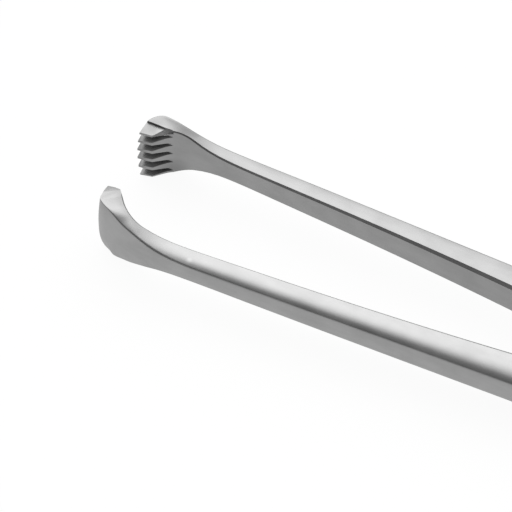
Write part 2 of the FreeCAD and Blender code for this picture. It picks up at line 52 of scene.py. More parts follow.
lens = bpy.data.cameras.new("long_lens")
lens.lens = lens.sensor_width * VIEW_DISTANCE / VIEW_WIDTH
lens.clip_start = 0.01
lens.clip_end = 20.0
camera = bpy.data.objects.new("camera", lens)
bpy.context.scene.collection.objects.link(camera)
back = Vector((
    math.sin(VIEW_TURN) * math.cos(VIEW_RISE),
    -math.cos(VIEW_TURN) * math.cos(VIEW_RISE),
    math.sin(VIEW_RISE),
))
camera.location = VIEW_TARGET + back * VIEW_DISTANCE
camera.rotation_euler = back.to_track_quat("Z", "Y").to_euler()
bpy.context.scene.camera = camera


# Satin stainless steel: glass-beaded and then brushed along the shanks. The grain is too
# fine to see as lines; it only breaks up the reflections. The half with six teeth is painted a
# little darker than the other as painted shade, and painted shade and painted highlights darken
# and lighten patches of the tips.
class Wire:
    """The output of a shader node, which plain sums and products can use."""

    def __init__(self, shader, socket):
        self.shader = shader
        self.socket = socket

    def sum(self, operation, first, second):
        return self.shader.node("ShaderNodeMath", {"operation": operation},
                                {0: first, 1: second})["Value"]

    def __add__(self, other):
        return self.sum("ADD", self, other)

    def __radd__(self, other):
        return self.sum("ADD", other, self)

    def __sub__(self, other):
        return self.sum("SUBTRACT", self, other)

    def __rsub__(self, other):
        return self.sum("SUBTRACT", other, self)

    def __mul__(self, other):
        return self.sum("MULTIPLY", self, other)

    def __rmul__(self, other):
        return self.sum("MULTIPLY", other, self)


class Outputs:
    """The outputs of one shader node, by name."""

    def __init__(self, shader, made):
        self.shader = shader
        self.made = made

    def __getitem__(self, name):
        return Wire(self.shader, self.made.outputs[name])


class Shader:
    """A node tree that is written as expressions."""

    def __init__(self, tree):
        self.tree = tree
        tree.nodes.clear()

    def node(self, kind, settings=None, sockets=None):
        made = self.tree.nodes.new(kind)
        for name, value in (settings or {}).items():
            setattr(made, name, value)
        for name, value in (sockets or {}).items():
            if isinstance(value, Wire):
                self.tree.links.new(value.socket, made.inputs[name])
            else:
                made.inputs[name].default_value = value
        return Outputs(self, made)

    def noise(self, place, scale, detail):
        return self.node("ShaderNodeTexNoise", {}, {
            "Vector": place, "Scale": scale, "Detail": detail})["Fac"]

    def stretched(self, place, factors):
        return self.node("ShaderNodeVectorMath", {"operation": "MULTIPLY"},
                         {0: place, 1: factors})["Vector"]


STEEL_ROUGHNESS = 0.37
CLOUD_SCALE = 420.0
CLOUD_DETAIL = 5.0
CLOUD_SHARE = 0.65
CLOUD_ROUGHNESS = 0.06
BRUSH_SCALE = 1800.0
BRUSH_DETAIL = 3.0
BRUSH_LENGTH = (0.22, 1.0, 1.0)
BRUSH_ROUGHNESS = 0.04
GRAIN_SCALE = 9000.0
GRAIN_DETAIL = 2.0
GRAIN_SHARE = 0.4
GRAIN_STRENGTH = 0.2
GRAIN_DEPTH = 0.02 * MM

# The half with six teeth has darker greys than the other: painted shade on that half.
SIX_SHADED_TONES = (0.21, 0.39)
FIVE_TONES = (0.25, 0.44)
# Painted shade and painted highlights on the half with six teeth: centre, reach, share along Z,
# strength.
SIX_PAINTED_SHADING = (
    ((-62.2, 4.0, 6.0), 1.2, 1.0, -0.2),
    ((-60.6, 4.5, 0.8), 2.2, 1.0, -0.3),
    ((-62.9, 3.3, 3.1), 0.7, 0.15, -0.35),
    ((-61.4, 4.15, 5.6), 0.8, 1.0, 0.4),
)
# Painted shade and painted highlights on the half with five teeth: centre, reach, share along Z,
# strength.
FIVE_PAINTED_SHADING = (
    ((-61.2, -3.1, 6.1), 1.2, 1.0, -0.28),
    ((-62.0, -4.3, 6.1), 1.8, 1.0, -0.12),
    ((-54.1, -5.7, 4.25), 0.4, 1.0, 0.3),
)


def satin_steel(name, tones, painted_shade_and_highlights):
    """Blasted and brushed steel, whose tone wanders between two greys. Each painted patch,
    painted shade where it darkens and a painted highlight where it lightens, has its centre on
    the forceps as they lie, its reach in millimetres, the share that a distance along Z counts,
    which draws the patch out, and how much darker or paler the steel gets."""
    metal = bpy.data.materials.new(name)
    metal.use_nodes = True
    steel = Shader(metal.node_tree)
    place = steel.node("ShaderNodeTexCoord")["Object"]
    clouds = steel.noise(place, CLOUD_SCALE, CLOUD_DETAIL)
    brush = steel.noise(steel.stretched(place, BRUSH_LENGTH), BRUSH_SCALE, BRUSH_DETAIL)
    grain = steel.noise(place, GRAIN_SCALE, GRAIN_DETAIL)
    mottle = CLOUD_SHARE * clouds + (1 - CLOUD_SHARE) * brush
    dark, pale = tones
    tone = dark + (pale - dark) * mottle
    # Each patch is painted shade where its strength is below zero and a painted highlight where
    # it is above.
    for centre, reach, upright_share, strength in painted_shade_and_highlights:
        scale = Vector((1, 1, upright_share))
        away = steel.node("ShaderNodeVectorMath", {"operation": "DISTANCE"}, {
            0: steel.stretched(place, scale), 1: Vector(centre) * scale * MM})["Value"]
        faded = steel.node("ShaderNodeMapRange", {"interpolation_type": "SMOOTHSTEP"}, {
            "Value": away, "From Min": reach * MM, "From Max": 0.0})["Result"]
        tone = tone * (1 + strength * faded)
    relief = steel.node("ShaderNodeBump", {}, {
        "Strength": GRAIN_STRENGTH, "Distance": GRAIN_DEPTH,
        "Height": (1 - GRAIN_SHARE) * brush + GRAIN_SHARE * grain})["Normal"]
    surface = steel.node("ShaderNodeBsdfPrincipled", {}, {
        "Base Color": tone,
        "Metallic": 1.0,
        "Roughness": STEEL_ROUGHNESS + CLOUD_ROUGHNESS * clouds + BRUSH_ROUGHNESS * brush,
        "Normal": relief,
    })["BSDF"]
    steel.node("ShaderNodeOutputMaterial", {}, {"Surface": surface})
    return metal


# The two jaws with their shanks: each is forged in one with its half of the forceps. A jaw
# is a flared paddle that turns in at its end, and its shank grows back to the lock. Sizes
# are in millimetres, back from the line of the teeth and out from the middle line.
JAW_REACH = 62.0
BOX_LENGTH = 13.0
BOX_WIDTH = 9.2
BOX_HEIGHT = 6.2
BOX_STEP = 0.1
MIDDLE_GAP = 0.05
SHANK_GAP = 1.86
SHANK_HEIGHT = 2.4
SHANK_GROWTH = 0.0375
NECK_LENGTH = 8.0
SLIM_LENGTH = 14.0
GAP_POWER = 2.2
SWELL_START = 10.0
SWELL_POWER = 1.05
RISE_LENGTH = 17.0
ROOT_BEHIND = JAW_REACH - BOX_LENGTH / 2
ROOT_PAST = 2.6
JAW_WIDTH = 6.16
FLARE_LENGTH = 3.35
FLARE_POWER = 2.1
HOOK_DEPTH = 3.2
LAND_ANGLE = math.radians(13.0)
LAND_OFFSET = 0.264
FRONT_HEIGHT = 1.0
BROW_BACK = 0.25
BROW_REACH = 0.62
BROW_NUDGE = 0.01
TOOTH_PITCH = 1.13
TOOTH_ANGLE = math.radians(28.8)
TOOTH_CREST = 0.34
GROOVE_FLARE = math.tan(TOOTH_ANGLE / 2)
TOOTH_DEPTH = (TOOTH_PITCH / 2 - TOOTH_CREST) / GROOVE_FLARE
MESH_GAP = 0.29
LAND_WAY = Vector((math.cos(LAND_ANGLE), math.sin(LAND_ANGLE), 0))
UP = Vector((0, 0, 1))

# What differs between the halves. The land is the length of the strip with the teeth, which
# ends so far back, and the five teeth reach farther past the middle line. The angle and the
# radius are those of the hook. The outer side falls to the tip by a depth, over a length
# and with a power, and it is crowned by one height at the tip and another on the shank. The
# bow of the faces is how much steeper it gets behind the neck and its power, and the outer
# edge has a depth and a width. The dip and the corner are how deep the faces and the lower
# outer corner are cut at the tip.
SIX = {
    "teeth": 6, "longer": -1, "land": 1.02, "back": 0.0,
    "angle": math.radians(45.0), "radius": 3.2, "width": 1.54, "fall": (1.0, 5.0, 1.6),
    "crown": (0.24, 0.04), "bow": (1.0, 1.9), "edge": (0.45, 0.35), "dip": 0.0, "corner": 0.0,
}
FIVE = {
    "teeth": 5, "longer": 1, "land": 1.17, "back": 0.12,
    "angle": math.radians(53.0), "radius": 2.8, "width": 1.76, "fall": (1.57, 2.75, 1.0),
    "crown": (0.17, 0.1), "bow": (1.5, 5.0), "edge": (0.7, 0.25), "dip": 0.24, "corner": 2.2,
}


def eased(low, high, share):
    """A change from one value to another that starts and ends gently."""
    share = min(max(share, 0.0), 1.0)
    return low + (high - low) * share * share * (3 - 2 * share)


def inner_off(behind):
    """How far the inner side of a shank lies from the middle line."""
    share = min(max((behind - SLIM_LENGTH) / (ROOT_BEHIND - SLIM_LENGTH), 0.0), 1.0)
    return SHANK_GAP + (MIDDLE_GAP - SHANK_GAP) * share ** GAP_POWER


def outer_off(behind, jaw):
    """How far the outer side of a jaw and its shank lies from the middle line."""
    slim = SHANK_GAP + jaw["width"]
    share = min(max((behind - SWELL_START) / (ROOT_BEHIND - SWELL_START), 0.0), 1.0)
    swell = (BOX_WIDTH / 2 - slim) * share ** SWELL_POWER
    drop, length, power = jaw["fall"]
    return slim + swell - drop * math.exp(-(max(behind, 0.0) / length) ** power)


def half_height(behind):
    """Half of the height of a jaw and its shank."""
    slim = (SHANK_HEIGHT + SHANK_GROWTH * max(behind - NECK_LENGTH, 0.0)) / 2
    flare = math.exp(-(max(behind, 0.0) / FLARE_LENGTH) ** FLARE_POWER)
    rise = (behind - ROOT_BEHIND + RISE_LENGTH) / RISE_LENGTH
    return eased(slim, BOX_HEIGHT / 2 - BOX_STEP, rise) + (JAW_WIDTH / 2 - slim) * flare


def plan(behind, off):
    """The point so far behind the line of the teeth and off the middle line."""
    return Vector((behind - JAW_REACH, off, 0))


WALL_STEPS = 5
FACE_STEPS = 9
EDGE_STEPS = 12
SIDE_STEPS = 8


def section(inner, outer, inner_half, outer_half, bevel, top_edge, low_edge, crown,
            bow=0.0, power=2.0):
    """The points round an upright oblong: its inner edges are bevelled, its upper and lower
    faces bow down to the outer side, and the outer edges are oval, each so deep and wide.
    The outer side is crowned, and the upper edge runs into it without a kink."""
    across = outer - inner
    width = across.length
    across.normalize()

    def half_outline(deep, wide, slant, reach=None):
        lean = math.atan(power * bow / width * wide / deep)
        last = math.pi / 2 - math.atan(2 * slant / (outer_half - bow - deep) * deep / wide)
        side_top = outer_half - bow - deep * (math.cos(lean) - math.cos(last))
        reach = reach or side_top
        edge = width + crown * (1 - (side_top / reach) ** 2) - wide * math.sin(last)
        bend = edge + wide * math.sin(lean)
        points = [(0, (inner_half - bevel) * step / WALL_STEPS)
                  for step in range(WALL_STEPS + 1)]
        for step in range(FACE_STEPS):
            share = step / FACE_STEPS
            points.append((bevel + (bend - bevel) * share, inner_half
                           + (outer_half - inner_half) * share - bow * share ** power))
        for step in range(EDGE_STEPS):
            turn = lean + (last - lean) * step / EDGE_STEPS
            points.append((edge + wide * math.sin(turn),
                           outer_half - bow - deep * (math.cos(lean) - math.cos(turn))))
        for step in range(SIDE_STEPS + 1):
            height = side_top * (1 - step / SIDE_STEPS)
            points.append((width + crown * (1 - (height / reach) ** 2), height))
        return points, side_top

    upper, reach = half_outline(*top_edge, crown)
    lower = half_outline(*low_edge, 0, reach)[0][-2:0:-1]
    return [inner + across * over + UP * height
            for over, height in upper + [(over, -height) for over, height in lower]]


def bezier(points, share):
    """The point at a share of a curve with four control points."""
    rest = 1 - share
    weights = (rest ** 3, 3 * rest ** 2 * share, 3 * rest * share ** 2, share ** 3)
    return sum((point * weight for point, weight in zip(points, weights)), Vector((0, 0, 0)))


def land_corner(jaw):
    """Where the toothed land of a jaw meets its hook."""
    past = (TOOTH_DEPTH / math.cos(LAND_ANGLE) - MESH_GAP) / 2 + jaw["longer"] * LAND_OFFSET
    return plan(jaw["back"], jaw["land"] * math.sin(LAND_ANGLE) - past)


FRONT_STEPS = 8
BROW_STEPS = 16
CHEEK_STEPS = 24


def front_outline(crest, jaw):
    """The end of a jaw from its crests: up the front, round the brow and back."""
    front = crest.x + JAW_REACH
    brow_off = outer_off(BROW_BACK, jaw)
    slope = (outer_off(BROW_BACK + BROW_NUDGE, jaw) - brow_off) / BROW_NUDGE
    brow = (
        plan(front, FRONT_HEIGHT),
        plan(front, FRONT_HEIGHT + BROW_REACH),
        plan(BROW_BACK - BROW_REACH, brow_off - BROW_REACH * slope),
        plan(BROW_BACK, brow_off),
    )
    line = [crest.lerp(brow[0], step / FRONT_STEPS) for step in range(FRONT_STEPS)]
    line += [bezier(brow, step / BROW_STEPS) for step in range(BROW_STEPS)]
    for step in range(CHEEK_STEPS + 1):
        behind = BROW_BACK + (HOOK_DEPTH - BROW_BACK) * step / CHEEK_STEPS
        line.append(plan(behind, outer_off(behind, jaw)))
    return line


def along_line(line, share):
    """The point at a share of the length of a line of points."""
    lengths = [(b - a).length for a, b in zip(line, line[1:])]
    left = share * sum(lengths)
    for start, end, length in zip(line, line[1:], lengths):
        if left <= length:
            return start.lerp(end, left / length)
        left -= length
    return line[-1]


INNER_EDGE = (0.1, 0.37)
THIN_EDGE = 0.1
EDGE_LENGTH = 30.0
EDGE_POWER = 0.6
BOW_START = 7.0
BOW_RUN = 12.0
OVAL_POWER = 0.5
CORNER_ROUND = 0.5
CORNER_WIDE = 0.6
CORNER_END = 2.6
CORNER_RUN = 2.6
CORNER_FRONT = -0.1
CORNER_FRONT_RUN = 0.7
DRAFT = math.tan(math.radians(6.5))
DRAFT_START = 2.0
DRAFT_RUN = 7.0
DIP_BACK = 1.5
DIP_RUN = 1.0
DIP_POWER = 2.0


def bow_share(behind):
    """How far a shank has come from its neck to where its outer edge is fully rounded."""
    return min(max(behind - BOW_START, 0.0) / BOW_RUN, 1.0)


def upper_edge(behind, jaw):
    """How deep and how wide the round of the upper outer edge is."""
    full_deep, full_wide = jaw["edge"]
    grown = min(max(behind, 0.0) / EDGE_LENGTH, 1.0)
    deep = THIN_EDGE + (full_deep - THIN_EDGE) * grown ** EDGE_POWER
    return deep, deep * (1 + (full_wide / full_deep - 1) * bow_share(behind) ** OVAL_POWER)


def lower_edge(behind, jaw):
    """The same for the lower outer edge, which may be cut away at the corner of the tip."""
    deep, wide = upper_edge(behind, jaw)
    if jaw["corner"]:
        left = (behind - CORNER_END) / CORNER_RUN
        wide = max(wide, eased(CORNER_ROUND, THIN_EDGE, left))
        deep = max(deep, wide)
        left = (behind - CORNER_FRONT) / CORNER_FRONT_RUN
        wide += eased(CORNER_WIDE - CORNER_ROUND, 0, left)
        deep += eased(jaw["corner"] - CORNER_ROUND, 0, left)
    return deep, wide


def face_bow(behind, width, jaw):
    """How far the upper and lower faces fall to the outer side, and by which power."""
    steeper, power = jaw["bow"]
    grown = eased(0, 1, (behind - DRAFT_START) / DRAFT_RUN)
    left = eased(1, 0, (behind - ROOT_BEHIND + RISE_LENGTH) / RISE_LENGTH)
    bow = (1 + (steeper - 1) * bow_share(behind)) * DRAFT * grown * left * width
    dipped = math.exp(-((behind - DIP_BACK) / DIP_RUN) ** 2)
    return bow + jaw["dip"] * dipped, power + (DIP_POWER - power) * dipped


HOOK_STEPS = 48
SHANK_STEPS = 72


def jaw_rings(jaw):
    """Rings of points from the crests of the teeth back into the box of the lock."""
    corner = land_corner(jaw)
    crest = corner - LAND_WAY * jaw["land"]
    angle, hook_radius = jaw["angle"], jaw["radius"]
    climb = SHANK_GAP - corner.y
    tangent = hook_radius * math.tan(angle / 2)
    straight = climb / math.sin(angle) - tangent
    bend_end = jaw["back"] + climb / math.tan(angle) + tangent
    line = front_outline(crest, jaw)

    def hook(share):
        way = share * (straight + hook_radius * angle)
        if way < straight:
            return corner + Vector((math.cos(angle), math.sin(angle), 0)) * way
        turn = angle - (way - straight) / hook_radius
        return plan(bend_end - hook_radius * math.sin(turn),
                    SHANK_GAP - hook_radius + hook_radius * math.cos(turn))

    pairs = [(hook(step / HOOK_STEPS), along_line(line, step / HOOK_STEPS))
             for step in range(HOOK_STEPS + 1)]
    for step in range(1, SHANK_STEPS + 1):
        share = step / SHANK_STEPS
        inner_behind = bend_end + (ROOT_BEHIND + ROOT_PAST - bend_end) * share
        behind = HOOK_DEPTH + (ROOT_BEHIND + ROOT_PAST - HOOK_DEPTH) * share
        pairs.append((plan(inner_behind, inner_off(inner_behind)),
                      plan(behind, outer_off(behind, jaw))))
    rings = []
    for inner, outer in pairs:
        inner_behind = inner.x + JAW_REACH
        behind = outer.x + JAW_REACH
        grown = min(max(behind, 0.0) / ROOT_BEHIND, 1.0)
        bevel = INNER_EDGE[0] + (INNER_EDGE[1] - INNER_EDGE[0]) * grown
        crown = eased(*jaw["crown"], behind / (2 * FLARE_LENGTH))
        bow, power = face_bow(behind, (outer - inner).length, jaw)
        rings.append(section(
            inner, outer, half_height(inner_behind), half_height(behind), bevel,
            upper_edge(behind, jaw), lower_edge(behind, jaw), crown, bow, power))
    return rings


def skin(name, rings, closed=False):
    """A closed mesh through rings of points, which end in flat faces unless it is a loop."""
    form = bmesh.new()
    rows = [[form.verts.new(point) for point in ring] for ring in rings]
    pairs = list(zip(rows, rows[1:]))
    if closed:
        pairs.append((rows[-1], rows[0]))
    count = len(rows[0])
    for near, far in pairs:
        for index in range(count):
            following = (index + 1) % count
            form.faces.new((near[index], near[following], far[following], far[index]))
    if not closed:
        form.faces.new(rows[0])
        form.faces.new(rows[-1])
    bmesh.ops.recalc_face_normals(form, faces=form.faces)
    mesh = bpy.data.meshes.new(name)
    form.to_mesh(mesh)
    form.free()
    piece = bpy.data.objects.new(name, mesh)
    bpy.context.scene.collection.objects.link(piece)
    return piece


def prism(name, corners, run):
    """A straight bar on a polygon."""
    return skin(name, [corners, [corner + run for corner in corners]])


def applied(piece):
    """The piece with its modifier worked into its mesh."""
    graph = bpy.context.evaluated_depsgraph_get()
    mesh = bpy.data.meshes.new_from_object(piece.evaluated_get(graph))
    piece.modifiers.clear()
    old = piece.data
    piece.data = mesh
    bpy.data.meshes.remove(old)
    return piece


def worked(piece, tool, operation):
    """The piece joined with the tool, or with the tool's form cut out of it."""
    step = piece.modifiers.new(operation, "BOOLEAN")
    step.operation = operation
    step.solver = "EXACT"
    step.object = tool
    applied(piece)
    bpy.data.objects.remove(tool)
    return piece


# The grooves between the teeth and the flats beside them are milled and ground into the
# tips. Every cutter is longer by the same run-out than what it cuts.
PAST = 3.0
GROOVE_DROP = 0.06
NOSE_LENGTH = 0.5
NOSE_DEPTH = 0.2
NOSE_STEPS = 6
FACET_HEIGHT = 1.25
FACET_DEPTH = 0.17
FACET_SLOPE = math.tan(math.radians(-4.0))
FACET_TURN = math.tan(math.radians(8.0))
FLANKS = ((0.68, 0.72), (0.54, 0.42), (0.33, 0.2))
PATCH_PEAK = Vector((0.534, 1.148, 0))
PATCH_REAR = Vector((1.25, 1.33, 0))
PATCH_FOOT = 2.45


def groove_tools(jaw):
    """What is cut out between the teeth of a jaw at +Y. It deepens to the front, which
    rounds the noses of the teeth."""
    into = UP.cross(LAND_WAY)
    start = land_corner(jaw) - LAND_WAY * (jaw["land"] + PAST)
    run = LAND_WAY * (jaw["land"] + 2 * PAST)
    count = jaw["teeth"]
    floor_half = TOOTH_CREST / 2
    open_half = floor_half + (TOOTH_DEPTH + PAST) * GROOVE_FLARE
    tools = []
    for gap in range(count - 1):
        middle = UP * ((gap - (count - 2) / 2) * TOOTH_PITCH - GROOVE_DROP)
        stops = [0.0]
        stops += [PAST + NOSE_LENGTH * step / NOSE_STEPS for step in range(NOSE_STEPS + 1)]
        stops.append(run.length)
        rings = []
        for way in stops:
            near = min(max(1 - (way - PAST) / NOSE_LENGTH, 0.0), 1.0)
            here = start + LAND_WAY * way + into * (NOSE_DEPTH * near * near) + middle
            rings.append([here + into * TOOTH_DEPTH - UP * floor_half,
                          here + into * TOOTH_DEPTH + UP * floor_half,
                          here - into * PAST + UP * open_half,
                          here - into * PAST - UP * open_half])
        tools.append(skin("groove", rings))
    return tools, start, into, run


def facet_tools(start, into, run):
    """The flats ground beside the first and the last of the six teeth."""
    tools = []
    for side in (-1, 1):
        level = UP * (side * (JAW_WIDTH / 2 - FACET_DEPTH - PAST * FACET_SLOPE))
        rear = start + run + UP * (side * FACET_SLOPE * run.length)
        low = into * -PAST
        front_high = into * (FACET_HEIGHT + PAST * FACET_TURN)
        rear_high = front_high - into * (run.length * FACET_TURN)
        tools.append(prism("facet", [
            start + low + level, rear + low + level, rear + rear_high + level,
            start + front_high + level], UP * (side * PAST)))
    return tools


def flank_tools(start, into, run):
    """What is ground away outside the first and the last of the five teeth, in three flats
    that round the flank over into the side of the jaw. Each has its drop at the crest and
    its steepness, away from the crest and back from the front alike."""
    tools = []
    for side in (-1, 1):
        for drop, steepness in FLANKS:
            slope = steepness / math.sqrt(2)
            rings = []
            for way in (0, run.length):
                level = JAW_WIDTH / 2 - drop + slope * (way - PAST)
                near = start + LAND_WAY * way - into * PAST - UP * GROOVE_DROP
                far = near + into * (2 * PAST)
                near += UP * (side * (level - slope * PAST))
                far += UP * (side * (level + slope * PAST))
                rings.append([near, far, far + UP * (side * PAST), near + UP * (2 * side * PAST)])
            tools.append(skin("flank", rings))
    return tools


def patch_tool(jaw):
    """What is ground off above the inner face, behind the flat on the upper side."""
    corner = land_corner(jaw)
    peak = corner + PATCH_PEAK
    rear = corner + PATCH_REAR
    outside = UP.cross(rear - corner).normalized() * -PAST
    rings = []
    for height, tip in ((BOX_HEIGHT, peak), (JAW_WIDTH / 2 - FACET_DEPTH, peak),
                        (PATCH_FOOT, corner.lerp(rear, 0.5))):
        rings.append([point + UP * height for point in (
            corner, tip, rear, rear + outside, corner + outside)])
    return skin("patch", rings)


def over_middle(piece):
    """The piece turned over to the other side of the middle line."""
    piece.data.transform(Matrix.Scale(-1, 4, (0, 1, 0)))
    piece.data.flip_normals()
    return piece


six_jaw = skin("six_tooth_half", jaw_rings(SIX))
tools, start, into, run = groove_tools(SIX)
for tool in tools + facet_tools(start, into, run) + [patch_tool(SIX)]:
    worked(six_jaw, tool, "DIFFERENCE")

five_jaw = skin("five_tooth_half", jaw_rings(FIVE))
tools, start, into, run = groove_tools(FIVE)
for tool in tools + flank_tools(start, into, run):
    worked(five_jaw, tool, "DIFFERENCE")
over_middle(five_jaw)


# The handles: oval shanks that bow out to the finger rings, bent from the same forging.
# The handle of a half lies on the other side of the middle line from its jaw.
HANDLE_REACH = 92.0
HANDLE_START = 0.3 * BOX_LENGTH
HANDLE_WIDTH = 3.7
HANDLE_HEIGHT = 4.0
HANDLE_BEND = 2.1
HANDLE_ROUND = 1.55
HANDLE_CROWN = 0.02
HANDLE_EASE = 0.45
HANDLE_STEPS = 48
HANDLE_NUDGE = 0.1
BOX_EDGE = 0.3
RING_LENGTH = 25.0
RING_WIDTH = 20.0
RING_WIRE = 4.2
RING_HEIGHT = 3.8
RING_SPREAD = 32.0
RING_FRONT = HANDLE_REACH - RING_LENGTH - 1.5 * RING_WIRE
RING_STEPS = 40
WIRE_STEPS = 36


def handle_middle(along):
    """The middle of a handle that lies at +Y, so far behind the rivet."""
    start_off = (BOX_WIDTH / 2 + MIDDLE_GAP) / 2
    spread = (RING_SPREAD - RING_WIRE) / 2 - start_off
    share = max(along - HANDLE_START, 0.0) / (RING_FRONT - HANDLE_START)
    return Vector((along, start_off + spread * share ** HANDLE_BEND, 0))


def handle_rings():
    """Rings of points from the box of the lock back to the finger ring."""
    rings = []
    for step in range(HANDLE_STEPS + 1):
        share = step / HANDLE_STEPS
        middle = handle_middle(HANDLE_START + (RING_FRONT - HANDLE_START) * share)
        aside = UP.cross(handle_middle(middle.x + HANDLE_NUDGE) - middle).normalized()
        width = eased(BOX_WIDTH / 2 - MIDDLE_GAP, HANDLE_WIDTH, share / HANDLE_EASE)
        half = eased(BOX_HEIGHT / 2 - BOX_STEP, HANDLE_HEIGHT / 2, share / HANDLE_EASE)
        soft = eased(BOX_EDGE, HANDLE_ROUND, share / HANDLE_EASE)
        rings.append(section(middle - aside * (width / 2), middle + aside * (width / 2),
                             half, half, soft, (soft, soft), (soft, soft), HANDLE_CROWN))
    return rings


def finger_ring_rings():
    """Ovals round the bar of a finger ring, along its two straight sides and two ends."""
    radius = (RING_WIDTH + RING_WIRE) / 2
    apart = (RING_LENGTH - RING_WIDTH) / 2
    middle = Vector((HANDLE_REACH - RING_WIRE - RING_LENGTH / 2, RING_SPREAD / 2, 0))
    stops = []
    for side, start in ((1, -math.pi / 2), (-1, math.pi / 2)):
        for step in range(RING_STEPS + 1):
            turn = start + math.pi * step / RING_STEPS
            stops.append((Vector((side * apart, 0, 0)), turn))
    rings = []
    for centre, turn in stops:
        out = Vector((math.cos(turn), math.sin(turn), 0))
        ring = []
        for step in range(WIRE_STEPS):
            lean = 2 * math.pi * step / WIRE_STEPS
            ring.append(middle + centre + out * (radius + RING_WIRE / 2 * math.cos(lean))
                        + UP * (RING_HEIGHT / 2 * math.sin(lean)))
        rings.append(ring)
    return rings


def handle(name):
    """A handle with its finger ring."""
    shank = skin(name, handle_rings())
    return worked(shank, skin(name + "_ring", finger_ring_rings(), closed=True), "UNION")


# The ratchet: a flat arm on the inside of each handle, forged with it. The two arms pass
# over each other when the forceps close, and three small teeth on each of them catch.
RATCHET_REACH = 53.0
RATCHET_WIDTH = 4.6
RATCHET_HEIGHT = 1.95
RATCHET_LAP = 3.4
RATCHET_PITCH = 1.5
RATCHET_DEPTH = 0.55
RATCHET_GAP = 0.05
RATCHET_TEETH = 3
RATCHET_REST = 0.25
RATCHET_SLANT = 0.8
RATCHET_CATCH = 0.15
RATCHET_EDGE = 0.12
RATCHET_SHARP = math.radians(40.0)


def ratchet_arm():
    """The arm of the half whose handle lies at -Y, with its teeth below. Each tooth slants
    down over most of its pitch, and its steep side is the one that catches."""
    root = -handle_middle(RATCHET_REACH).y
    valley = RATCHET_GAP + RATCHET_DEPTH
    top = RATCHET_GAP + RATCHET_HEIGHT
    profile = [(root, top), (RATCHET_LAP, top), (RATCHET_LAP, valley)]
    for tooth in range(RATCHET_TEETH):
        rear = RATCHET_LAP - (tooth + RATCHET_REST) * RATCHET_PITCH
        profile.append((rear, valley))
        profile.append((rear - RATCHET_SLANT * RATCHET_PITCH, RATCHET_GAP))
        profile.append((rear - (RATCHET_SLANT + RATCHET_CATCH) * RATCHET_PITCH, valley))
    profile.append((root, valley))
    start = RATCHET_REACH - RATCHET_WIDTH / 2
    arm = prism("ratchet", [Vector((start, off, height)) for off, height in profile],
                Vector((RATCHET_WIDTH, 0, 0)))
    round_off = arm.modifiers.new("round_off", "BEVEL")
    round_off.width = RATCHET_EDGE
    round_off.segments = 2
    round_off.limit_method = "ANGLE"
    round_off.angle_limit = RATCHET_SHARP
    return applied(arm)


# The lock: the box is part of the half with six teeth. A slot through it lets the other
# half pass, and is as wide as the sweep of that half's flat tenon from closed to open.
TENON_HEIGHT = 2.5
TENON_WIDTH = 3.4
TENON_PAST = 1.2
SLOT_GAP = 0.05
SLOT_STEPS = 24
CROSS_ANGLE = math.radians(19.5)
FULL_OPENING = math.radians(40.0)
REST_OPENING = math.radians(5.68)
SHOULDER_GAP = 0.1
BOX_STEPS = 24
BORE_PAST = 1.0
BORE_STEPS = 96
PIN_DIAMETER = 2.6
PIN_GAP = 0.03
SHARP_ANGLE = math.radians(28.0)
FULL_TURN = 2 * math.pi


def box_outline(inset, height):
    """The outline of the box: a disc with two flat sides."""
    radius = BOX_LENGTH / 2 - inset
    side = BOX_WIDTH / 2 - inset
    corner = math.asin(side / radius)
    points = []
    for centre in (0, math.pi):
        for step in range(BOX_STEPS + 1):
            turn = centre - corner + 2 * corner * step / BOX_STEPS
            points.append(Vector((radius * math.cos(turn), radius * math.sin(turn), height)))
    return points


def round_bar(name, radius, low, high, segments=BORE_STEPS, start=0.0, sweep=FULL_TURN):
    """An upright cylinder, or a sector of one."""
    turns = [start + sweep * step / segments for step in range(segments + 1)]
    rim = [Vector((radius * math.cos(turn), radius * math.sin(turn), low)) for turn in turns]
    if sweep < FULL_TURN:
        rim.append(Vector((0, 0, low)))
    else:
        rim.pop()
    return prism(name, rim, UP * (high - low))


def flat_bar(name, angle, reach, width, height):
    """A bar across the rivet."""
    along = Vector((math.cos(angle), math.sin(angle), 0)) * reach
    aside = Vector((-math.sin(angle), math.cos(angle), 0)) * (width / 2)
    low = UP * (-height / 2)
    corners = [aside + along + low, aside - along + low, -aside - along + low,
               -aside + along + low]
    return prism(name, corners, UP * height)


half_box = BOX_HEIGHT / 2
levels = [(BOX_EDGE * (1 - math.sin(turn)), half_box - BOX_EDGE * (1 - math.cos(turn)))
          for turn in (0, math.pi / 8, math.pi / 4, 3 * math.pi / 8, math.pi / 2)]
levels += [(inset, -height) for inset, height in reversed(levels)]
box = skin("box", [box_outline(inset, height) for inset, height in levels])

six_handle = over_middle(handle("six_handle"))
six_half = worked(six_jaw, box, "UNION")
worked(six_half, six_handle, "UNION")
worked(six_half, ratchet_arm(), "UNION")
reach = BOX_LENGTH / 2 + PAST
slot_half = TENON_HEIGHT / 2 + SLOT_GAP
for angle in (CROSS_ANGLE, CROSS_ANGLE + FULL_OPENING):
    worked(six_half, flat_bar("slot", angle, reach, TENON_WIDTH + 2 * SLOT_GAP,
                              2 * slot_half), "DIFFERENCE")
for angle in (CROSS_ANGLE, CROSS_ANGLE + math.pi):
    worked(six_half, round_bar("slot", reach, -slot_half, slot_half, SLOT_STEPS, angle,
                               FULL_OPENING), "DIFFERENCE")
bore_end = half_box + BORE_PAST
worked(six_half, round_bar("bore", PIN_DIAMETER / 2, -bore_end, bore_end), "DIFFERENCE")

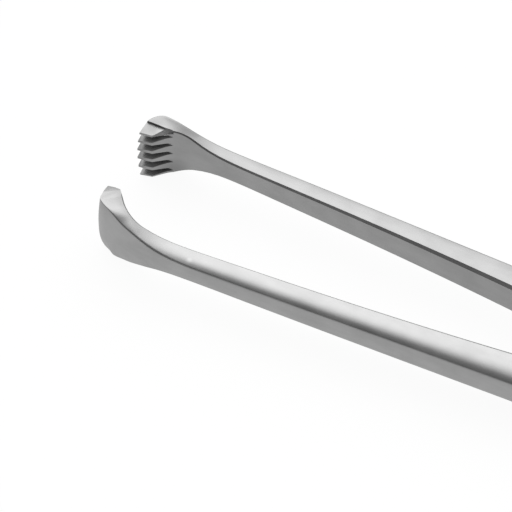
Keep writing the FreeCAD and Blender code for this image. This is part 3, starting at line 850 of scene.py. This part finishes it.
five_handle = handle("five_handle")
five_half = worked(five_jaw, five_handle, "UNION")
arm = ratchet_arm()
arm.data.transform(Matrix.Rotation(math.pi, 4, "X"))
worked(five_half, arm, "UNION")
worked(five_half, round_bar("shoulders", BOX_LENGTH / 2 + SHOULDER_GAP, -bore_end, bore_end),
       "DIFFERENCE")
worked(five_half, flat_bar("tenon", CROSS_ANGLE, BOX_LENGTH / 2 + TENON_PAST, TENON_WIDTH,
                           TENON_HEIGHT), "UNION")
worked(five_half, round_bar("bore", PIN_DIAMETER / 2 + PIN_GAP, -bore_end, bore_end),
       "DIFFERENCE")


def laid_open(piece, angle):
    """The piece swung about the rivet to where it lies, in metres, with its edges marked."""
    piece.data.transform(Matrix.Rotation(angle, 4, "Z"))
    piece.data.transform(Matrix.Scale(MM, 4) @ Matrix.Translation((0, 0, half_box)))
    for face in piece.data.polygons:
        face.use_smooth = True
    piece.data.set_sharp_from_angle(angle=SHARP_ANGLE)
    piece.data.materials.clear()
    return piece


laid_open(six_half, -REST_OPENING / 2)
laid_open(five_half, REST_OPENING / 2)
six_half.data.materials.append(satin_steel("satin_steel_six", SIX_SHADED_TONES, SIX_PAINTED_SHADING))
five_half.data.materials.append(satin_steel("satin_steel_five", FIVE_TONES, FIVE_PAINTED_SHADING))
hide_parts("female_half")
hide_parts("male_half")
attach(six_half, "female")
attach(five_half, "male")


# The rivet: a turned steel pin, pressed through the box and the tenon and ground flush
# with both faces of the box. It is a little paler than the forging and has turning rings.
PIN_EDGE = 0.12
PIN_STEPS = 72
PIN_TONE = (0.42, 0.42, 0.424, 1)
PIN_ROUGHNESS = 0.32
TURNING_ROUGHNESS = 0.08
TURNING_SCALE = 1200.0
TURNING_WAVER = 0.6
TURNING_STRENGTH = 0.15
TURNING_DEPTH = 0.01 * MM

pin_metal = bpy.data.materials.new("pin_steel")
pin_metal.use_nodes = True
turned = Shader(pin_metal.node_tree)
place = turned.node("ShaderNodeTexCoord")["Object"]
rings = turned.node("ShaderNodeTexWave", {"wave_type": "RINGS", "rings_direction": "Z"}, {
    "Vector": place, "Scale": TURNING_SCALE, "Distortion": TURNING_WAVER, "Detail": 1.0})["Fac"]
relief = turned.node("ShaderNodeBump", {}, {
    "Strength": TURNING_STRENGTH, "Distance": TURNING_DEPTH, "Height": rings})["Normal"]
surface = turned.node("ShaderNodeBsdfPrincipled", {}, {
    "Base Color": PIN_TONE,
    "Metallic": 1.0,
    "Roughness": PIN_ROUGHNESS + TURNING_ROUGHNESS * rings,
    "Normal": relief,
})["BSDF"]
turned.node("ShaderNodeOutputMaterial", {}, {"Surface": surface})

profile = [(PIN_DIAMETER / 2 - PIN_EDGE * (1 - math.sin(turn)),
            half_box - PIN_EDGE * (1 - math.cos(turn)))
           for turn in (0, math.pi / 6, math.pi / 3, math.pi / 2)]
profile += [(radius, -height) for radius, height in reversed(profile)]
rivet = skin("rivet", [[Vector((radius * math.cos(turn), radius * math.sin(turn), height))
                        for turn in (FULL_TURN * step / PIN_STEPS for step in range(PIN_STEPS))]
                       for radius, height in profile])
laid_open(rivet, 0)
rivet.data.materials.append(pin_metal)
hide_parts("pivot_pin")
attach(rivet, "female")


# The studio: a plain white table that runs out of view, and soft light from high up
# behind the forceps, so that the upper faces shine. A wide dark flag round the camera keeps
# the sides grey.
FLOOR_SIZE = 6.0
FLOOR_GAP = 0.05 * MM
FLOOR_TONE = (0.97, 0.97, 0.97, 1)
FLOOR_GLOW = 0.94
SKY_TONE = 0.6
SOFTBOX_TONE = 3.8
SOFTBOX_RISE = math.radians(64.0)
SOFTBOX_REACH = (63.0, 18.0)
FLAG_SHADE = 0.72
FLAG_REACH = (76.0, 22.0)

table = bpy.data.meshes.new("table")
half = FLOOR_SIZE / 2
table.from_pydata([(-half, -half, -FLOOR_GAP), (half, -half, -FLOOR_GAP),
                   (half, half, -FLOOR_GAP), (-half, half, -FLOOR_GAP)], [], [(0, 1, 2, 3)])
floor = bpy.data.objects.new("table", table)
bpy.context.scene.collection.objects.link(floor)
white = bpy.data.materials.new("white_table")
white.use_nodes = True
paint = Shader(white.node_tree)
matt = paint.node("ShaderNodeBsdfPrincipled", {}, {
    "Base Color": FLOOR_TONE, "Roughness": 1.0, "Specular IOR Level": 0.0})["BSDF"]
seen = paint.node("ShaderNodeLightPath")
share = FLOOR_GLOW * (
    seen["Is Camera Ray"] + seen["Is Glossy Ray"] + seen["Is Transmission Ray"])
glow = paint.node("ShaderNodeEmission", {}, {"Color": (1, 1, 1, 1), "Strength": 1.0})["Emission"]
blend = paint.node("ShaderNodeMixShader", {}, {0: share, 1: matt, 2: glow})["Shader"]
paint.node("ShaderNodeOutputMaterial", {}, {"Surface": blend})
table.materials.append(white)

world = bpy.data.worlds.new("studio")
world.use_nodes = True
bpy.context.scene.world = world
sky = Shader(world.node_tree)
way = sky.node("ShaderNodeTexCoord")["Generated"]
behind = Vector((-back.x, -back.y, 0)).normalized()
key_way = behind * math.cos(SOFTBOX_RISE) + UP * math.sin(SOFTBOX_RISE)


def lobe(centre, outer, inner):
    """A soft round patch of the sky, 1 within the inner angle and 0 outside the outer one."""
    facing = sky.node("ShaderNodeVectorMath", {"operation": "DOT_PRODUCT"},
                      {0: way, 1: centre})["Value"]
    return sky.node("ShaderNodeMapRange", {"interpolation_type": "SMOOTHSTEP"}, {
        "Value": facing, "From Min": math.cos(math.radians(outer)),
        "From Max": math.cos(math.radians(inner))})["Result"]


glow = SKY_TONE + (SOFTBOX_TONE - SKY_TONE) * lobe(key_way, *SOFTBOX_REACH)
glow = glow * (1 - FLAG_SHADE * lobe(back, *FLAG_REACH))
light = sky.node("ShaderNodeBackground", {}, {"Strength": glow})["Background"]
sky.node("ShaderNodeOutputWorld", {}, {"Surface": light})

bpy.context.scene.view_settings.view_transform = "Standard"
